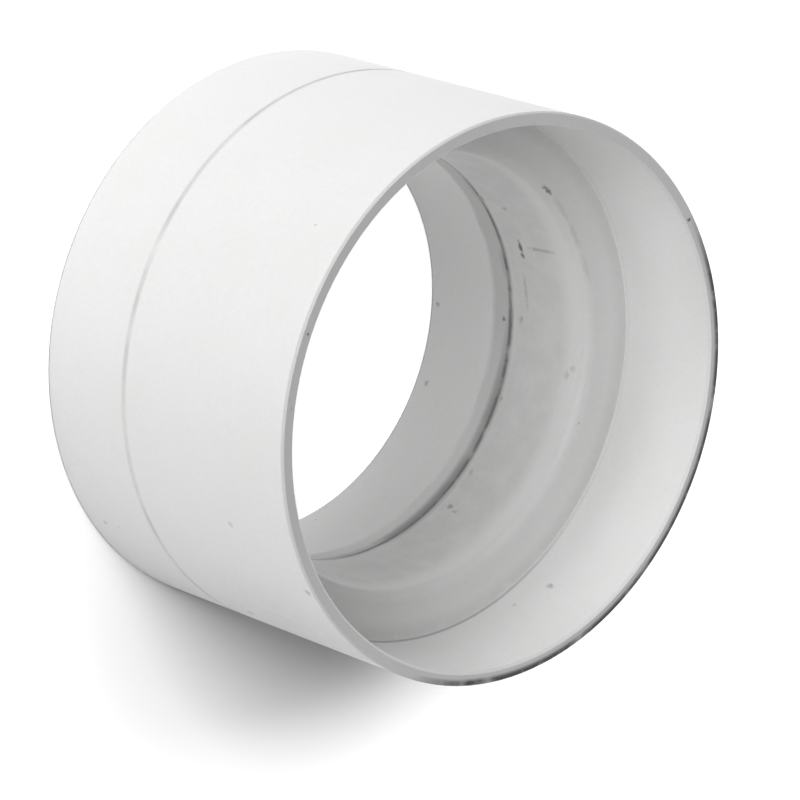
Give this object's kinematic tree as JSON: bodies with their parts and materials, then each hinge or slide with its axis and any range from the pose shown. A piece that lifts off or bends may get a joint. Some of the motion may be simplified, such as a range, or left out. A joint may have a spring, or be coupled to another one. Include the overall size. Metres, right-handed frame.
{
  "type": "flue pipe adapter",
  "caption": "Short round moulded plastic adapter with a large pipe socket at one end, an inner shoulder and tapered throat, and a smaller pipe socket nested in the other end.",
  "frame": {"origin": "on the tube's axis, in the plane of the small-socket end that it stands on", "axes": "+Z along the tube's axis, from the small-socket end up to the large-socket rim"},
  "size_m": [0.1324, 0.1324, 0.084],
  "materials": {
    "white_pvc": "white moulded PVC, satin"
  },
  "bodies": {
    "root": {"adapter_body": "white_pvc"}
  },
  "joints": []
}
